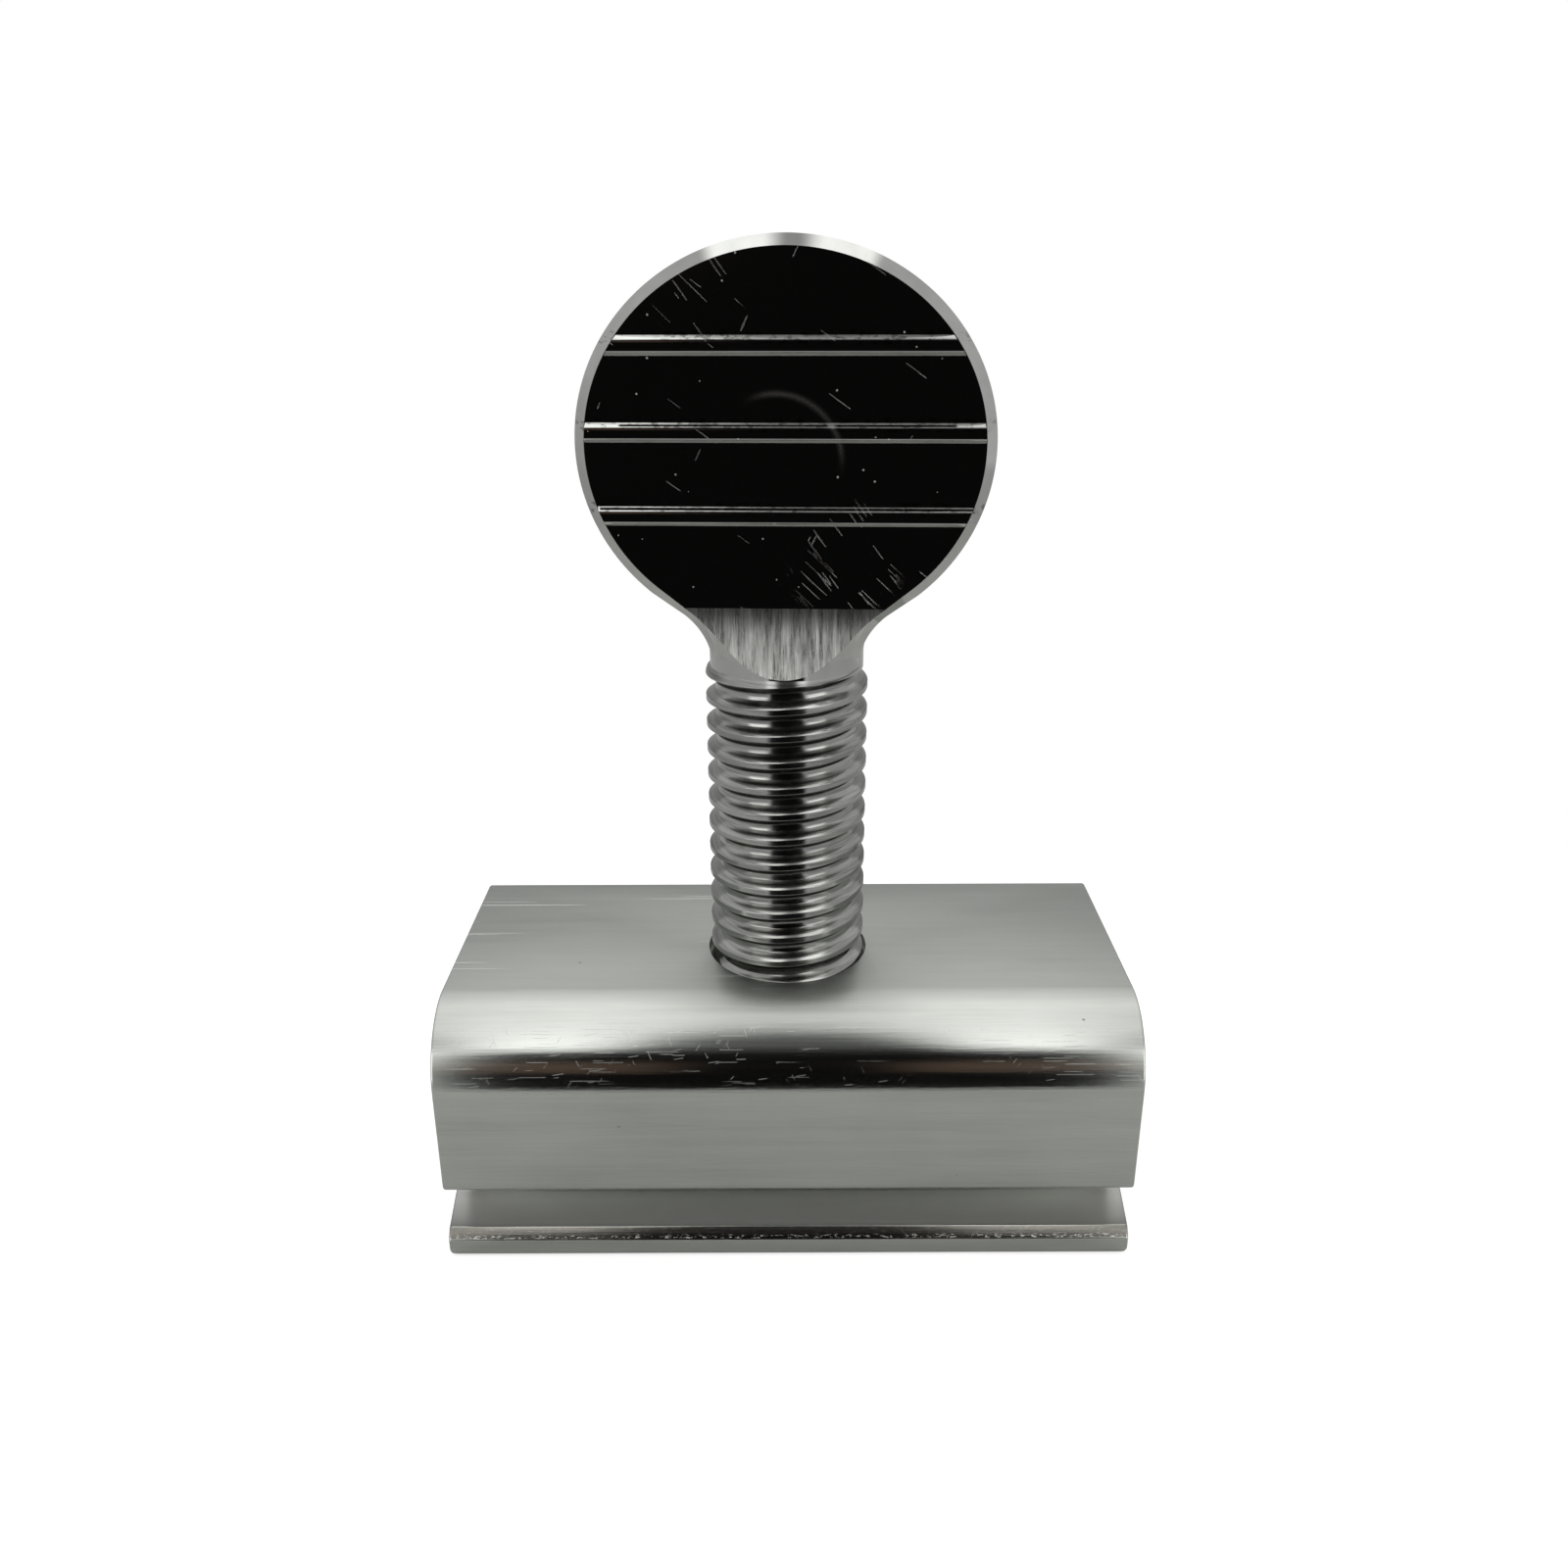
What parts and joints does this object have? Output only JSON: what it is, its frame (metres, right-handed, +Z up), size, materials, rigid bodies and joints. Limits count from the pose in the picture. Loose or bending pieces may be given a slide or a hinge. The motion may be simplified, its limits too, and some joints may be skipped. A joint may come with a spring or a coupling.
{
  "type": "sliding window lock",
  "caption": "Slotted clamp block with a flat-headed thumb screw that grips the rail of a sliding window.",
  "frame": {"origin": "middle of the block's flat underside", "axes": "+X along the block and its rail slot, +Y towards the closed back of the block, +Z up along the screw"},
  "size_m": [0.0412, 0.0188, 0.0579],
  "materials": {
    "extruded_aluminium": "satin",
    "polished_steel": "polished"
  },
  "bodies": {
    "clamp": {"clamp_body": "extruded_aluminium"},
    "screw": {"thumb_screw": "polished_steel"}
  },
  "joints": [
    {"name": "thumb_turn", "type": "hinge", "parent": "clamp", "child": "screw", "pos_m": [0, 0.00055, 0.0161], "axis": [0, 0, 1], "range_deg": [-1260, 670]}
  ]
}
